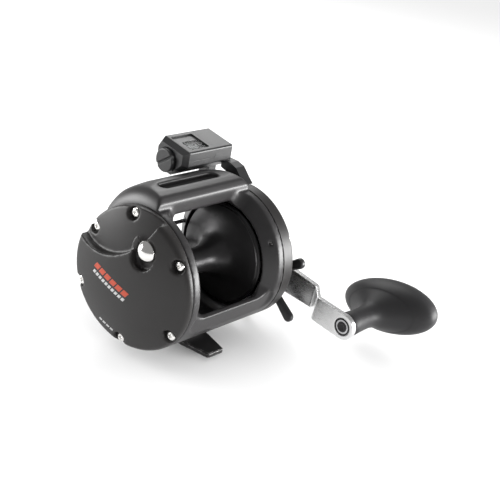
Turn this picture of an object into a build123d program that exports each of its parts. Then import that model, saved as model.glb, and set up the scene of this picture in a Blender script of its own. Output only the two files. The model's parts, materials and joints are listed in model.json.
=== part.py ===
from build123d import *
import os
from math import acos, atan2, cos, degrees, pi, radians, sin, sqrt, tan

os.makedirs("parts", exist_ok=True)

# A level-wind trolling reel with a line counter.
# X runs along the spool axis towards the handle, Y towards the rod tip and Z up.
# Shapes are drawn about the spool axis and lifted by axis_height when they are written,
# so that the origin is the centre of the reel foot's underside.

# ---------------------------------------------------------------- driving dimensions
axis_height = 45.0
plate_radius = 40.0
frame_half = 35.0
flange_half = 24.6
flange_radius = 30.0
flange_thickness = 2.6
ring_bore = 31.7
arbor_radius = 7.5
shell_inner_radius = 35.0
screw_circle = 36.5

drive_y = -11.1
drive_z = -15.3
gear_module = 0.6
main_teeth = 51
pinion_teeth = 12

worm_distance = 34.5
worm_angle = -12.0
bushing_radius = 2.5
worm_y = worm_distance * cos(radians(worm_angle))
worm_z = worm_distance * sin(radians(worm_angle))
wind_module = 0.5
wind_teeth = 12
idler_teeth = 57

counter_y = worm_y
counter_z = 48.4
counter_left = 4.0
counter_split = 27.5
counter_right = 41.0
lay_shaft_x = 37.9

handle_reach = 64.0
handle_tilt = 183.0
handle_x = 63.0
knob_x = 53.6

running_gap = 0.05
standing = (Align.CENTER, Align.CENTER, Align.MIN)


# ---------------------------------------------------------------- shape helpers
def polar(radius, angle):
    """A (y, z) point at a radius and an angle in degrees, 0 forward and 90 up."""
    return (radius * cos(radians(angle)), radius * sin(radians(angle)))


def rod(x0, x1, radius, y=0.0, z=0.0):
    """A solid cylinder along X."""
    turned = Rot(0, 90, 0) * Cylinder(radius, x1 - x0, align=standing)
    return Pos(x0, y, z) * turned


def tube(x0, x1, outer, inner, y=0.0, z=0.0):
    """A hollow cylinder along X."""
    return rod(x0, x1, outer, y, z) - rod(x0 - 1, x1 + 1, inner, y, z)


def block(x0, x1, y0, y1, z0, z1):
    """A box given by its two corners."""
    return Pos((x0 + x1) / 2, (y0 + y1) / 2, (z0 + z1) / 2) * Box(x1 - x0, y1 - y0, z1 - z0)


def prism(x0, x1, points, rounding=0.0):
    """A polygon in (y, z) with rounded corners, extruded along X."""
    face = make_face(Polyline([(y, z) for y, z in points], close=True))
    if rounding:
        face = fillet(face.vertices(), rounding)
    return extrude(Plane.YZ.offset(x0) * face, x1 - x0)


def slot_prism(x0, x1, start, end, width):
    """A round-ended slot in the YZ plane, extruded along X."""
    (y0, z0), (y1, z1) = start, end
    length = sqrt((y1 - y0) ** 2 + (z1 - z0) ** 2)
    turn = degrees(atan2(z1 - z0, y1 - y0))
    sketch = Pos((y0 + y1) / 2, (z0 + z1) / 2) * Rot(0, 0, turn) * SlotCenterToCenter(length, width)
    return extrude(Plane.YZ.offset(x0) * sketch, x1 - x0)


def turned(points, arc=360.0, start=0.0):
    """Revolve a closed (x, radius) outline about the X axis, starting at an angle from +Y."""
    face = make_face(Polyline(points, close=True))
    return Rot(start, 0, 0) * revolve(face, Axis.X, revolution_arc=arc)


def hexagon(x0, x1, across, y=0.0, z=0.0):
    """A hexagonal prism along X, given its width across flats."""
    sketch = Pos(y, z) * RegularPolygon(across / 2, 6, major_radius=False)
    return extrude(Plane.YZ.offset(x0) * sketch, x1 - x0)


def around(count, start=0.0):
    """Equally spaced angles in degrees."""
    return [start + 360.0 * k / count for k in range(count)]




def save(name, shape):
    """Lift each solid of a finished piece to its place above the foot and write them."""
    pieces = shape if isinstance(shape, (list, tuple)) else [shape]
    solids = [Pos(0, 0, axis_height) * solid for piece in pieces for solid in piece.solids()]
    export_step(solids[0] if len(solids) == 1 else Compound(solids), f"parts/{name}.step")


# ---------------------------------------------------------------- gears
pressure_angle = radians(25.0)
backlash = 0.14


def involute(angle):
    return tan(angle) - angle


def spur_gear(teeth, module, x0, x1, y, z, phase, bore):
    """A spur gear along X with a tooth centred at the angle phase, in degrees."""
    pitch = teeth * module / 2
    base = pitch * cos(pressure_angle)
    root = pitch - 1.25 * module
    tip = pitch + module
    half_pitch = pi / (2 * teeth) - backlash / (2 * pitch)
    low = max(base, root)
    radii = [low + (tip - low) * k / 3 for k in range(4)]
    profile = [(r, half_pitch + involute(pressure_angle) - involute(acos(min(1.0, base / r)))) for r in radii]
    if root < base:
        profile.insert(0, (root, profile[0][1]))
    outline = []
    for k in range(teeth):
        centre = radians(phase) + 2 * pi * k / teeth
        for radius, half in profile:
            outline.append((y + radius * cos(centre - half), z + radius * sin(centre - half)))
        for radius, half in reversed(profile):
            outline.append((y + radius * cos(centre + half), z + radius * sin(centre + half)))
    return prism(x0, x1, outline) - rod(x0 - 1, x1 + 1, bore, y, z)


def mesh_phase(teeth_a, phase_a, teeth_b, direction):
    """The phase of gear B that meshes with gear A, for the direction from A's centre to B's."""
    turn_a = (direction - phase_a) * teeth_a
    return direction + 180.0 - (180.0 - turn_a) / teeth_b


def ratchet_wheel(teeth, outer, depth, x0, x1, y, z, bore):
    """A wheel with saw teeth."""
    outline = []
    for angle in around(teeth):
        for radius, turn in ((outer, angle), (outer - depth, angle + 60.0 / teeth)):
            outline.append((y + radius * cos(radians(turn)), z + radius * sin(radians(turn))))
    return prism(x0, x1, outline) - rod(x0 - 1, x1 + 1, bore, y, z)


# ---------------------------------------------------------------- frame
hump = [(-4.0, 30.0), (-3.6, 43.2), (-1.0, 46.4), (4.0, 47.4), (17.0, 47.2), (24.5, 43.0), (31.5, 36.6),
        (36.5, 26.0), (38.0, 10.0), (0.0, 10.0)]
counter_outline = [(41.0, 60.0), (44.5, 54.5), (44.5, 46.0), (42.5, 40.5), (33.0, 38.8), (24.5, 43.8),
                   (19.6, 48.5), (19.6, 57.4)]
counter_rounding = 1.2

barrel_line = [ThreePointArc((-26.0, 48.6), (0.0, 50.4), (26.0, 48.6)),
               ThreePointArc((26.0, 48.6), (32.0, 45.6), (frame_half, 40.1)),
               Polyline((frame_half, 40.1), (frame_half, 0.0), (-frame_half, 0.0), (-frame_half, 40.1)),
               ThreePointArc((-frame_half, 40.1), (-32.0, 45.6), (-26.0, 48.6))]
barrel = revolve(make_face(barrel_line), Axis.X)

rear_window_start = 95.0
rear_window_end = 197.0
front_window_start = -27.0
front_window_end = 34.0
window_side = 30.6
window_floor = 29.0
window_reach = 56.0
flare = (window_side - flange_half) / (plate_radius - ring_bore)
window_inner = flange_half - flare * (ring_bore - window_floor)
window_outer = window_side + flare * (window_reach - plate_radius)
window = [(-window_inner, window_floor), (-window_outer, window_reach), (window_outer, window_reach),
          (window_inner, window_floor)]
cavity = [(-frame_half - 1, 0), (-frame_half - 1, ring_bore), (-flange_half, ring_bore),
          (-flange_half + 3.0, shell_inner_radius), (flange_half - 3.0, shell_inner_radius),
          (flange_half, ring_bore), (frame_half + 1, ring_bore), (frame_half + 1, 0)]


def window_cutter(start, end, rounding):
    """A ring-shaped cutter between two angles, flared outwards and rounded at its corners."""
    cutter = turned(window, arc=end - start, start=start)
    slanted = [e for e in cutter.edges().filter_by(GeomType.LINE) if e.length < window_reach
               and abs(e.vertices()[0].X - e.vertices()[1].X) > 1.0]
    return fillet(slanted, rounding)


lip_inner = (-37.3, -8.0)
lip_outer = (-34.4, -20.3)
lip_turn = degrees(atan2(lip_inner[1] - lip_outer[1], lip_inner[0] - lip_outer[0]))
lip_height = 16.0

frame_body = rod(-frame_half, frame_half, plate_radius)
frame_body += prism(-frame_half, frame_half, hump, 1.8) & barrel
frame_body -= turned(cavity)
frame_body -= window_cutter(rear_window_start, rear_window_end, 8.0)
frame_body -= window_cutter(front_window_start, front_window_end, 4.0)

lip_face = Pos(0, lip_height / 2) * RectangleRounded(2 * window_side + 1.5, lip_height, 7.5)
lip_plane = Plane(origin=(0, lip_outer[0], lip_outer[1]), x_dir=(1, 0, 0),
                  z_dir=(0, -sin(radians(lip_turn)), cos(radians(lip_turn))))
if lip_plane.z_dir.Y > 0:
    lip_plane = Plane(origin=lip_plane.origin, x_dir=(-1, 0, 0), z_dir=-lip_plane.z_dir)
frame_body -= extrude(lip_plane * lip_face, 12.0)

top_slot = Plane.XY.offset(43.4) * Pos(-1.5, 9.2) * SlotOverall(42.0, 6.6)
frame_body -= extrude(top_slot, 10.0)
frame_body -= prism(counter_left - 0.5, counter_right + 0.5, counter_outline)

saddle = [(-13.0, -36.0), (13.0, -36.0), (11.0, -42.2), (-11.0, -42.2)]
frame_body += prism(-9.0, 9.0, saddle) - rod(-20, 20, 38.0)

rail_y, rail_z = polar(35.6, 8.0)
for side in (-1, 1):
    x0, x1 = sorted((side * 24.0, side * (frame_half + 1)))
    frame_body -= rod(x0, x1, bushing_radius, worm_y, worm_z)
    x0, x1 = sorted((side * 24.0, side * 31.0))
    frame_body -= rod(x0, x1, 1.5, rail_y, rail_z)
foot_screw_places = [(-4.5, -9.0), (4.5, -9.0), (-4.5, 9.0), (4.5, 9.0)]
for x, y in foot_screw_places:
    frame_body -= Pos(x, y, -42.2) * Cylinder(1.25, 6.0, align=standing)
left_screw_angles = [78.0, 29.0, -24.0, -88.0, -148.0, 144.0]
right_screw_angles = [40.0, 88.0, 148.0, 208.0, 268.0, 328.0]
for angle in left_screw_angles:
    frame_body -= rod(-frame_half - 1, -frame_half + 7.0, 1.25, *polar(screw_circle, angle))
for angle in right_screw_angles:
    frame_body -= rod(frame_half - 7.0, frame_half + 1, 1.25, *polar(screw_circle, angle))
save("frame", frame_body)

# ---------------------------------------------------------------- foot
foot_length = 62.0
foot_tip = 6.0
foot_root = 10.0
foot_thickness = 2.8
foot_outline = [(-foot_tip, -foot_length / 2), (foot_tip, -foot_length / 2), (foot_root, -12.0),
                (foot_root, 12.0), (foot_tip, foot_length / 2), (-foot_tip, foot_length / 2),
                (-foot_root, 12.0), (-foot_root, -12.0)]
foot_face = fillet(make_face(Polyline(foot_outline, close=True)).vertices(), 1.5)
reel_foot = Pos(0, 0, -axis_height) * extrude(foot_face, foot_thickness)
reel_foot = chamfer(reel_foot.edges().group_by(Axis.Z)[-1], 0.6)
for x, y in foot_screw_places:
    reel_foot -= Pos(x, y, -axis_height) * Cylinder(1.35, 20.0)
    reel_foot -= Pos(x, y, -axis_height + 0.75) * Cylinder(2.5, 1.5)
save("reel_foot", reel_foot)

foot_screws = []
for x, y in foot_screw_places:
    head = Cylinder(2.3, 1.2, align=standing)
    shank = Cylinder(1.25, 6.5, align=standing)
    foot_screws.append(Pos(x, y, -axis_height + 0.3) * (head + shank))

# ---------------------------------------------------------------- left side plate
dome_radius = 120.0
dome_centre = (68.0, 16.4, 0.0)
dome_wall = 3.5
shelf_depth = 5.0
shelf_centre = (24.0, 48.0)
shelf_radius = 38.4
well_radius = 3.7
well_depth = 2.8
head_radius = 2.6
clicker_top = (-10.5, 22.4)
clicker_travel = 4.0


def dome(depth):
    """The ball that bounds the left plate, sunk below its outer face by a depth."""
    return Pos(*dome_centre) * Sphere(dome_radius - depth)


def dome_x(y, z, depth=0.0):
    """The X of the dome's face over a point."""
    return dome_centre[0] - sqrt((dome_radius - depth) ** 2 - (y - dome_centre[1]) ** 2 - z ** 2)


def left_face_x(y, z):
    """The X of the left plate's outer face, lower on its shelf."""
    shelf = (y - shelf_centre[0]) ** 2 + (z - shelf_centre[1]) ** 2 < shelf_radius ** 2
    return dome_x(y, z, shelf_depth if shelf else 0.0)


left_plate = rod(-60.0, -frame_half, plate_radius) & dome(0.0)
rim_edges = [e for e in left_plate.edges() if e.center().X < -frame_half - 0.5]
left_plate = fillet(rim_edges, 3.2)
left_plate -= rod(-60.0, -frame_half - 2.0, shelf_radius, *shelf_centre) - dome(shelf_depth)
left_inner = rod(-60.0, -frame_half + 1.0, 34.0) & dome(dome_wall + shelf_depth)
left_plate -= left_inner
left_plate += rod(-60.0, -41.5, 7.5) & dome(2.0)
left_plate -= rod(-46.0, -41.0, 5.0)
left_plate += (rod(-60.0, -44.5, 10.5, *clicker_top) & dome(2.0))
idler_y, idler_z = polar((wind_teeth + idler_teeth) * wind_module / 2, worm_angle)
left_plate += rod(-50.0, -40.6, 3.0, idler_y, idler_z) & dome(2.0)
left_plate -= rod(-47.5, -40.0, 1.5, idler_y, idler_z)
left_heads = []
for angle in left_screw_angles:
    place = polar(screw_circle, angle)
    seat = max(left_face_x(*place) + well_depth, -frame_half - 12.0)
    seat = min(seat, -frame_half - 1.6)
    left_plate += (rod(-60.0, -frame_half, 4.4, *place) & dome(3.0)) & rod(seat, -frame_half, 38.9)
    left_plate -= rod(-60.0, seat, well_radius, *place)
    left_plate -= rod(-60.0, -frame_half + 1.0, 1.35, *place)
    left_heads.append((seat, place))
left_plate -= rod(-41.0, -frame_half + 1.0, 4.1, worm_y, worm_z)
clicker_low = (clicker_top[0] + 0.8, clicker_top[1] - clicker_travel)
clicker_floor = dome_x(*clicker_top) + 2.6
left_plate -= slot_prism(-60.0, clicker_floor, clicker_top, clicker_low, 13.2)
left_plate -= slot_prism(-60.0, -30.0, clicker_top, clicker_low, 4.0)
save("left_side_plate", left_plate)


def pan_screw(seat, length, place, outward, head=head_radius):
    """A domed cross-slotted screw along X whose head stands outward from its seat."""
    y, z = place
    cap = rod(*sorted((seat, seat + outward * 1.7)), head, y, z)
    top = cap.edges().filter_by(GeomType.CIRCLE).sort_by(Axis.X)[-1 if outward > 0 else 0]
    cap = fillet(top, 0.9)
    shank = rod(*sorted((seat + outward * 0.1, seat - outward * length)), 1.25, y, z)
    cross = block(seat - 9, seat + 9, y - 0.3, y + 0.3, z - 1.3, z + 1.3)
    cross += block(seat - 9, seat + 9, y - 1.3, y + 1.3, z - 0.3, z + 0.3)
    cross &= rod(*sorted((seat + outward * 1.0, seat + outward * 4.0)), 2.0, y, z)
    return cap + shank - cross


plate_screws = [pan_screw(seat, -seat - frame_half + 6.0, place, -1) for seat, place in left_heads]

button_x = clicker_floor - 0.2
button = Pos(button_x + 1.6, *clicker_top) * Sphere(6.5) & rod(button_x - 6.0, button_x, 5.9, *clicker_top)
button += rod(button_x - 0.5, -29.6, 1.8, *clicker_top)
save("clicker_button", button)
tongue = [(-13.0, 23.4), (-8.0, 23.4), (-6.6, 18.0), (-7.2, 17.0), (-8.4, 17.6)]
save("click_tongue", prism(-29.5, -28.4, tongue) + rod(-29.6, -28.4, 1.0, *clicker_top))

# ---------------------------------------------------------------- right side plate and gear case
case_face = 44.0
case_top = 48.0
gear_case_radius = 18.5
right_plate = rod(frame_half, case_face, plate_radius)
right_plate = fillet(right_plate.edges().filter_by(GeomType.CIRCLE).sort_by(Axis.X)[-1], 3.0)
for radius, y, z in ((18.0, 0.0, 0.0), (gear_case_radius, drive_y, drive_z)):
    bulge = rod(case_face - 1, case_top, radius, y, z)
    right_plate += fillet(bulge.edges().filter_by(GeomType.CIRCLE).sort_by(Axis.X)[-1], 2.0)
right_inner = rod(frame_half - 1, 41.0, 35.6)
right_plate -= right_inner
for angle in right_screw_angles:
    boss = rod(frame_half, case_face - 2.0, 3.6, *polar(screw_circle, angle))
    right_plate += boss & rod(frame_half, case_face, 39.0)
right_plate -= rod(frame_half + 1.0, 46.0, 16.5)
right_plate -= rod(frame_half + 1.0, 45.5, gear_case_radius - 2.4, drive_y, drive_z)
right_plate += rod(44.7, 49.4, 7.0)
right_plate -= tube(46.4, 52.0, 9.7, 7.0)
right_plate -= rod(40.0, 48.6, 5.0)
right_plate += rod(43.2, 50.8, 9.2, drive_y, drive_z)
right_plate -= rod(40.0, 60.0, 7.5, drive_y, drive_z)
for angle in right_screw_angles:
    place = polar(screw_circle, angle)
    right_plate -= rod(case_face - 2.0, case_face + 9.0, well_radius, *place)
    right_plate -= rod(frame_half - 1.0, 60.0, 1.35, *place)
    plate_screws.append(pan_screw(case_face - 2.0, case_face - 2.0 - frame_half + 6.0, place, 1))
post_angles = [330.0, 160.0, 42.0]
for angle in post_angles:
    place = polar(27.5, angle)
    right_plate += rod(33.6, 42.0, 3.0, *place)
    right_plate -= rod(33.0, 40.0, 1.0, *place)
channel = block(frame_half - 1.0, 41.0, worm_y - 2.8, worm_y + 2.8, worm_z - 3.4, 46.0)
right_plate -= channel
lever_y, lever_z = -16.0, 21.0
right_plate -= rod(30.0, 60.0, 2.55, lever_y, lever_z)
save("right_side_plate", right_plate)
save("plate_screws", plate_screws)

# ---------------------------------------------------------------- gear bridge
bridge_x0, bridge_x1 = 31.6, 33.4
bridge = rod(bridge_x0, bridge_x1, ring_bore - 0.15)
bridge -= rod(30.0, 36.0, 6.0)
bridge -= rod(30.0, 36.0, 4.0, drive_y, drive_z)
bridge_screws = []
for angle in post_angles:
    place = polar(27.5, angle)
    bridge -= rod(30.0, 36.0, 1.05, *place)
    bridge_screws.append(rod(30.4, bridge_x0, 1.9, *place) + rod(30.6, 39.0, 1.0, *place))
yoke_angles = [144.0, 324.0]
yoke_reach = 13.0
yoke_posts = []
for angle in yoke_angles:
    place = polar(yoke_reach, angle)
    bridge -= rod(30.0, 36.0, 1.2, *place)
    yoke_posts.append(rod(31.0, 45.8, 1.2, *place))
dog_y, dog_z = -27.0, 0.5
bridge -= rod(30.0, 36.0, 1.2, dog_y, dog_z)
save("gear_bridge_plate", bridge)
dog_pivot = rod(31.0, 36.4, 1.2, dog_y, dog_z) + rod(36.0, 36.6, 2.0, dog_y, dog_z)
idler_stud = rod(-47.0, -36.9, 1.5, idler_y, idler_z) + rod(-37.3, -36.5, 2.4, idler_y, idler_z)
save("gear_studs", yoke_posts + [dog_pivot, idler_stud])

# ---------------------------------------------------------------- spool group
shaft_radius = 2.0
spool_side = [(0.0, 0.0), (0.0, arbor_radius), (9.0, arbor_radius + 0.3), (15.0, arbor_radius + 2.6),
              (19.0, 13.5), (21.2, 19.0), (22.6, 25.0), (23.6, 28.6), (flange_half, flange_radius),
              (flange_half + flange_thickness, flange_radius), (flange_half + flange_thickness, 26.5),
              (24.6, 24.0), (23.2, 18.0), (21.0, 12.5), (21.0, 9.0), (27.6, 9.0), (27.6, 0.0)]
spool = turned(spool_side)
spool += mirror(spool, Plane.YZ)
spool -= rod(-40.0, 40.0, shaft_radius)
save("spool", spool)
spool_shaft = rod(-45.5, 48.4, shaft_radius)
pin_x = 34.6
spool_shaft -= Pos(pin_x, 0, 0) * Cylinder(0.8, 20.0)
save("spool_shaft", spool_shaft)
save("clutch_pin", Pos(pin_x, 0, 0) * Cylinder(0.8, 8.6))
spool_gear_x0, spool_gear_x1 = -40.2, -37.6
save("spool_gear", spur_gear(wind_teeth, wind_module, spool_gear_x0, spool_gear_x1, 0, 0, 0.0, shaft_radius))
save("click_ratchet", ratchet_wheel(20, 14.0, 1.6, -29.6, -27.6, 0, 0, shaft_radius))
spool_bearings = []
for x in (-46.0, 45.7):
    races = tube(x, x + 2.5, 5.0, 4.1) + tube(x, x + 2.5, 2.9, shaft_radius + 0.02)
    spool_bearings.append(races + tube(x + 0.3, x + 2.2, 4.2, 2.8))
save("spool_bearings", spool_bearings)
tension_cap = rod(46.6, 51.2, 9.4) - rod(46.0, 49.6, 7.08)
tension_cap = chamfer(tension_cap.edges().filter_by(GeomType.CIRCLE).sort_by(Axis.X)[-1], 1.0)
for angle in around(24):
    tension_cap -= rod(46.0, 50.0, 0.55, *polar(9.6, angle))
tension_cap -= block(50.4, 52.0, -5.0, 5.0, -0.8, 0.8)
save("tension_cap", tension_cap)

# ---------------------------------------------------------------- clutch
pinion_x0, pinion_x1 = 36.2, 43.4
pinion = spur_gear(pinion_teeth, gear_module, pinion_x0, 41.2, 0, 0, 0.0, shaft_radius + running_gap)
pinion += tube(41.2, 42.6, 2.9, shaft_radius + running_gap)
pinion += tube(42.6, pinion_x1, 4.2, shaft_radius + running_gap)
pinion += tube(33.7, pinion_x0, 2.9, shaft_radius + running_gap)
pinion += tube(33.7, 35.1, 5.2, shaft_radius + running_gap)
pinion -= block(33.0, 35.55, -0.95, 0.95, -6.0, 6.0)
save("pinion_gear", pinion)
clutch_travel = 2.0
yoke = slot_prism(41.35, 42.45, polar(yoke_reach, yoke_angles[0]), polar(yoke_reach, yoke_angles[1]), 6.4)
yoke -= rod(40.0, 44.0, 3.0)
yoke -= slot_prism(40.0, 44.0, (0, 0), polar(8.0, 54.0), 6.0)
yoke += rod(41.35, 42.45, 5.2) - rod(40.0, 44.0, 3.0) - slot_prism(40.0, 44.0, (0, 0), polar(8.0, 54.0), 6.0)
for angle in yoke_angles:
    yoke -= rod(40.0, 44.0, 1.25, *polar(yoke_reach, angle))
save("clutch_yoke", yoke)
save("yoke_springs", [tube(42.5, 43.4, 2.2, 1.5, *polar(yoke_reach, angle)) for angle in yoke_angles])
lever = rod(39.7, 45.4, 2.5, lever_y, lever_z)
lever_tip = (lever_y + 12.0, lever_z + 9.0)
lever += slot_prism(45.2, 47.4, (lever_y, lever_z), lever_tip, 7.0)
lever += rod(45.2, 49.6, 3.6, *lever_tip)
lever += slot_prism(39.7, 41.0, (lever_y, lever_z), (lever_y + 5.0, lever_z - 9.3), 4.4)
save("clutch_lever", lever)

# ---------------------------------------------------------------- drive group
mesh_direction = degrees(atan2(drive_z, drive_y))
main_phase = mesh_phase(pinion_teeth, 0.0, main_teeth, mesh_direction)
main_gear = spur_gear(main_teeth, gear_module, 37.2, 41.2, drive_y, drive_z, main_phase, 3.0)
main_gear -= tube(39.2, 42.0, 12.4, 3.0, drive_y, drive_z)
save("main_gear", main_gear)
drive_shaft = rod(31.6, 67.6, 3.0, drive_y, drive_z) + rod(35.9, 37.2, 8.0, drive_y, drive_z)
save("drive_shaft", drive_shaft)
save("ratchet_wheel", ratchet_wheel(14, 10.5, 1.8, 34.3, 35.9, drive_y, drive_z, 3.0))
dog_tip_angle = degrees(atan2(dog_z - drive_z, dog_y - drive_y)) - 22.0
dog_tip = (drive_y + 11.3 * cos(radians(dog_tip_angle)), drive_z + 11.3 * sin(radians(dog_tip_angle)))
dog_heel = (drive_y + 13.6 * cos(radians(dog_tip_angle + 5)),
            drive_z + 13.6 * sin(radians(dog_tip_angle + 5)))
dog = rod(34.3, 35.8, 2.8, dog_y, dog_z) + prism(34.3, 35.8, [dog_tip, dog_heel, (dog_y + 2.4, dog_z + 1.4),
                                                          (dog_y - 1.4, dog_z - 2.4)])
dog -= rod(34.0, 36.0, 1.25, dog_y, dog_z)
save("anti_reverse_dog", dog)
fibre = [tube(x, x + 0.6, 12.2, 5.2, drive_y, drive_z) for x in (39.2, 40.4)]
save("drag_washers", fibre + [tube(39.85, 40.35, 12.2, 5.2, drive_y, drive_z)])
save("drag_pressure_plate", tube(41.0, 42.2, 12.0, 3.0, drive_y, drive_z))
save("drag_sleeve", tube(42.2, 50.9, 4.95, 3.0, drive_y, drive_z))
save("roller_clutch", tube(43.4, 50.4, 7.5, 5.0, drive_y, drive_z))
save("drag_spring_washers", tube(50.9, 51.8, 5.6, 3.0, drive_y, drive_z))
star_x0, star_x1 = 52.2, 57.6
star_arms = 5
star_first = 144.0
star_reach = 30.5
star = rod(star_x0 - 0.2, star_x1, 8.6, drive_y, drive_z)
star_arm_tips = []
for angle in around(star_arms, star_first):
    tip_y, tip_z = polar(star_reach, angle)
    star_arm_tips.append((drive_y + tip_y, drive_z + tip_z))
for tip in star_arm_tips:
    star += slot_prism(star_x0, star_x0 + 3.8, (drive_y, drive_z), tip, 6.4)
star -= rod(50.0, 60.0, 3.1, drive_y, drive_z)
star -= hexagon(star_x0 - 0.3, star_x0 + 2.4, 10.2, drive_y, drive_z)
save("star_drag", star)
drag_nut = hexagon(star_x0 - 0.3, star_x0 + 2.3, 10.0, drive_y, drive_z)
save("drag_nut", drag_nut - rod(50, 60, 3.02, drive_y, drive_z))
save("handle_spacer", tube(star_x1 + 0.1, handle_x - 1.5, 5.0, 3.0, drive_y, drive_z))

# ---------------------------------------------------------------- handle
arm_half = 1.5
arm_hub = 9.0
arm_end = 7.6
step_start, step_end = 34.0, 43.0


def on_arm(shape):
    """Turn a shape drawn with its reach along +Y to the handle's direction, about the drive shaft."""
    return Pos(0, drive_y, drive_z) * Rot(handle_tilt, 0, 0) * shape


arm_side = [(handle_x, -12.0), (handle_x, step_start), (knob_x, step_end), (knob_x, handle_reach + 12.0)]
arm_section = [(x - arm_half, r) for x, r in arm_side] + [(x + arm_half, r) for x, r in reversed(arm_side)]
arm_strip = make_face(Polyline(arm_section, close=True))
arm_strip = fillet([v for v in arm_strip.vertices() if step_start - 1 < v.Y < step_end + 1], 4.0)
arm = Pos(0, 0, -20.0) * extrude(arm_strip, 40.0)
arm_plan = prism(knob_x - 5, handle_x + 5, [(0, -arm_hub), (0, arm_hub), (step_start, 7.4),
                                            (handle_reach, arm_end), (handle_reach, -arm_end), (step_start, -7.4)])
arm_plan += rod(knob_x - 5, handle_x + 5, arm_hub)
arm_plan += rod(knob_x - 5, handle_x + 5, arm_end, handle_reach, 0.0)
arm &= arm_plan
arm -= rod(50.0, 70.0, 3.02) + rod(50.0, 60.0, 2.55, handle_reach, 0.0)
arm -= rod(50.0, knob_x - arm_half + 0.9, 5.4, handle_reach, 0.0)
save("handle_arm", on_arm(arm))

handle_nut = hexagon(handle_x + arm_half, 67.4, 11.0, drive_y, drive_z)
save("handle_nut", handle_nut - rod(60, 70, 3.02, drive_y, drive_z))
retainer = tube(67.6, 68.2, 6.2, 1.3, drive_y, drive_z)
retainer_screw = rod(68.2, 69.6, 2.4, drive_y, drive_z) + rod(67.6, 68.4, 1.3, drive_y, drive_z)
save("nut_retainer", [retainer, retainer_screw])

spindle_seat = knob_x - arm_half
spindle = rod(spindle_seat + 0.1, spindle_seat + 0.9, 5.3) + rod(spindle_seat + 0.5, 79.0, 2.5)
spindle += rod(knob_x + arm_half, knob_x + arm_half + 1.2, 4.4)
spindle -= rod(spindle_seat - 1.0, spindle_seat + 0.5, 1.6)
save("knob_spindle", on_arm(Pos(0, handle_reach, 0) * spindle))
bushings = [tube(x, x + 4.0, 3.9, 2.55) for x in (57.0, 74.0)]
save("knob_bushings", [on_arm(Pos(0, handle_reach, 0) * bush) for bush in bushings])

paddle_centre = 99.0
paddle_long, paddle_wide, paddle_thick = 32.5, 15.8, 16.5
paddle_tilt = -13.0
neck = turned([(56.6, 0.0), (56.6, 6.6), (58.0, 7.2), (62.0, 6.9), (72.0, 6.6), (80.0, 7.4), (86.0, 9.4),
               (92.0, 12.6), (paddle_centre, 12.6), (paddle_centre, 0.0)])
paddle = scale(Sphere(1.0), by=(paddle_thick, paddle_long, paddle_wide))
paddle = Pos(paddle_centre, 0, 0) * Rot(paddle_tilt, 0, 0) * paddle
knob = neck + paddle
knob -= rod(50.0, 82.0, 3.95)
knob = Pos(0, drive_y, drive_z) * Pos(0, handle_reach * cos(radians(handle_tilt)),
                                      handle_reach * sin(radians(handle_tilt))) * knob
save("knob", knob)

# ---------------------------------------------------------------- level wind
idler_phase = mesh_phase(wind_teeth, 0.0, idler_teeth, worm_angle)
save("spool_gear_idler", spur_gear(idler_teeth, wind_module, spool_gear_x0, spool_gear_x1, idler_y, idler_z,
                                   idler_phase, 1.5 + running_gap))
worm = rod(-40.6, frame_half, 1.5, worm_y, worm_z) + rod(-22.8, 22.8, 2.6, worm_y, worm_z)
worm += rod(frame_half - 1.0, lay_shaft_x - 1.2, 0.6, worm_y, worm_z)
groove_turns = 9
groove_pitch = 40.0 / groove_turns
for k in range(groove_turns + 1):
    x = -20.0 + k * groove_pitch
    for lean in (-24.0, 24.0):
        ring = Rot(0, 0, lean) * (rod(-0.55, 0.55, 6.0) - rod(-1.0, 1.0, 1.95))
        worm -= Pos(x, worm_y, worm_z) * ring
save("worm_shaft", worm)
worm_phase = mesh_phase(idler_teeth, idler_phase, wind_teeth, worm_angle)
worm_gear = spur_gear(wind_teeth, wind_module, spool_gear_x0, spool_gear_x1, worm_y, worm_z, worm_phase, 1.5)
worm_bushings = [tube(*sorted((side * 29.0, side * 34.0)), bushing_radius, 1.5 + running_gap, worm_y, worm_z)
                 for side in (-1, 1)]
save("shaft_bushings", worm_bushings + [tube(31.6, 33.4, 4.0, 3.05, drive_y, drive_z)])
save("guide_rod", rod(-31.0, 31.0, 1.5, rail_y, rail_z))
carriage_half = 5.5
carriage_block = [polar(31.2, -16.6), polar(31.2, 12.6), polar(39.6, 11.0), polar(42.5, -2.0),
                  polar(39.6, -18.0)]
carriage = prism(-carriage_half, carriage_half, carriage_block, 1.0)
carriage -= rod(-10.0, 10.0, 2.6 + 2 * running_gap, worm_y, worm_z)
carriage -= rod(-10.0, 10.0, 1.5 + running_gap, rail_y, rail_z)
eye_y, eye_z = 43.0, 9.6
eye_outer = Plane.XZ.offset(-eye_y + 1.5) * (Pos(0, eye_z) * SlotOverall(19.0, 10.4, rotation=90))
eye_inner = Plane.XZ.offset(-eye_y + 2.5) * (Pos(0, eye_z + 0.6) * SlotOverall(13.6, 5.2, rotation=90))
carriage += extrude(eye_outer, -3.0) + block(-4.0, 4.0, 38.0, 44.5, -3.0, 3.5)
carriage -= extrude(eye_inner, -6.0)
pawl_low = worm_z - 6.4
carriage += Pos(0, worm_y, pawl_low) * Cylinder(3.4, 5.0, align=standing)
carriage -= rod(-10.0, 10.0, 2.6 + 2 * running_gap, worm_y, worm_z)
carriage -= Pos(0, worm_y, pawl_low - 1.0) * Cylinder(1.5, 5.0, align=standing)
save("line_guide", carriage)
save("line_guide_pawl", Pos(0, worm_y, pawl_low) * Cylinder(1.4, 3.6, align=standing))
pawl_cap = Pos(0, worm_y, pawl_low - 1.2) * Cylinder(3.6, 1.2, align=standing)
save("pawl_cap", chamfer(pawl_cap.edges().group_by(Axis.Z)[0], 0.4))

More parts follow.
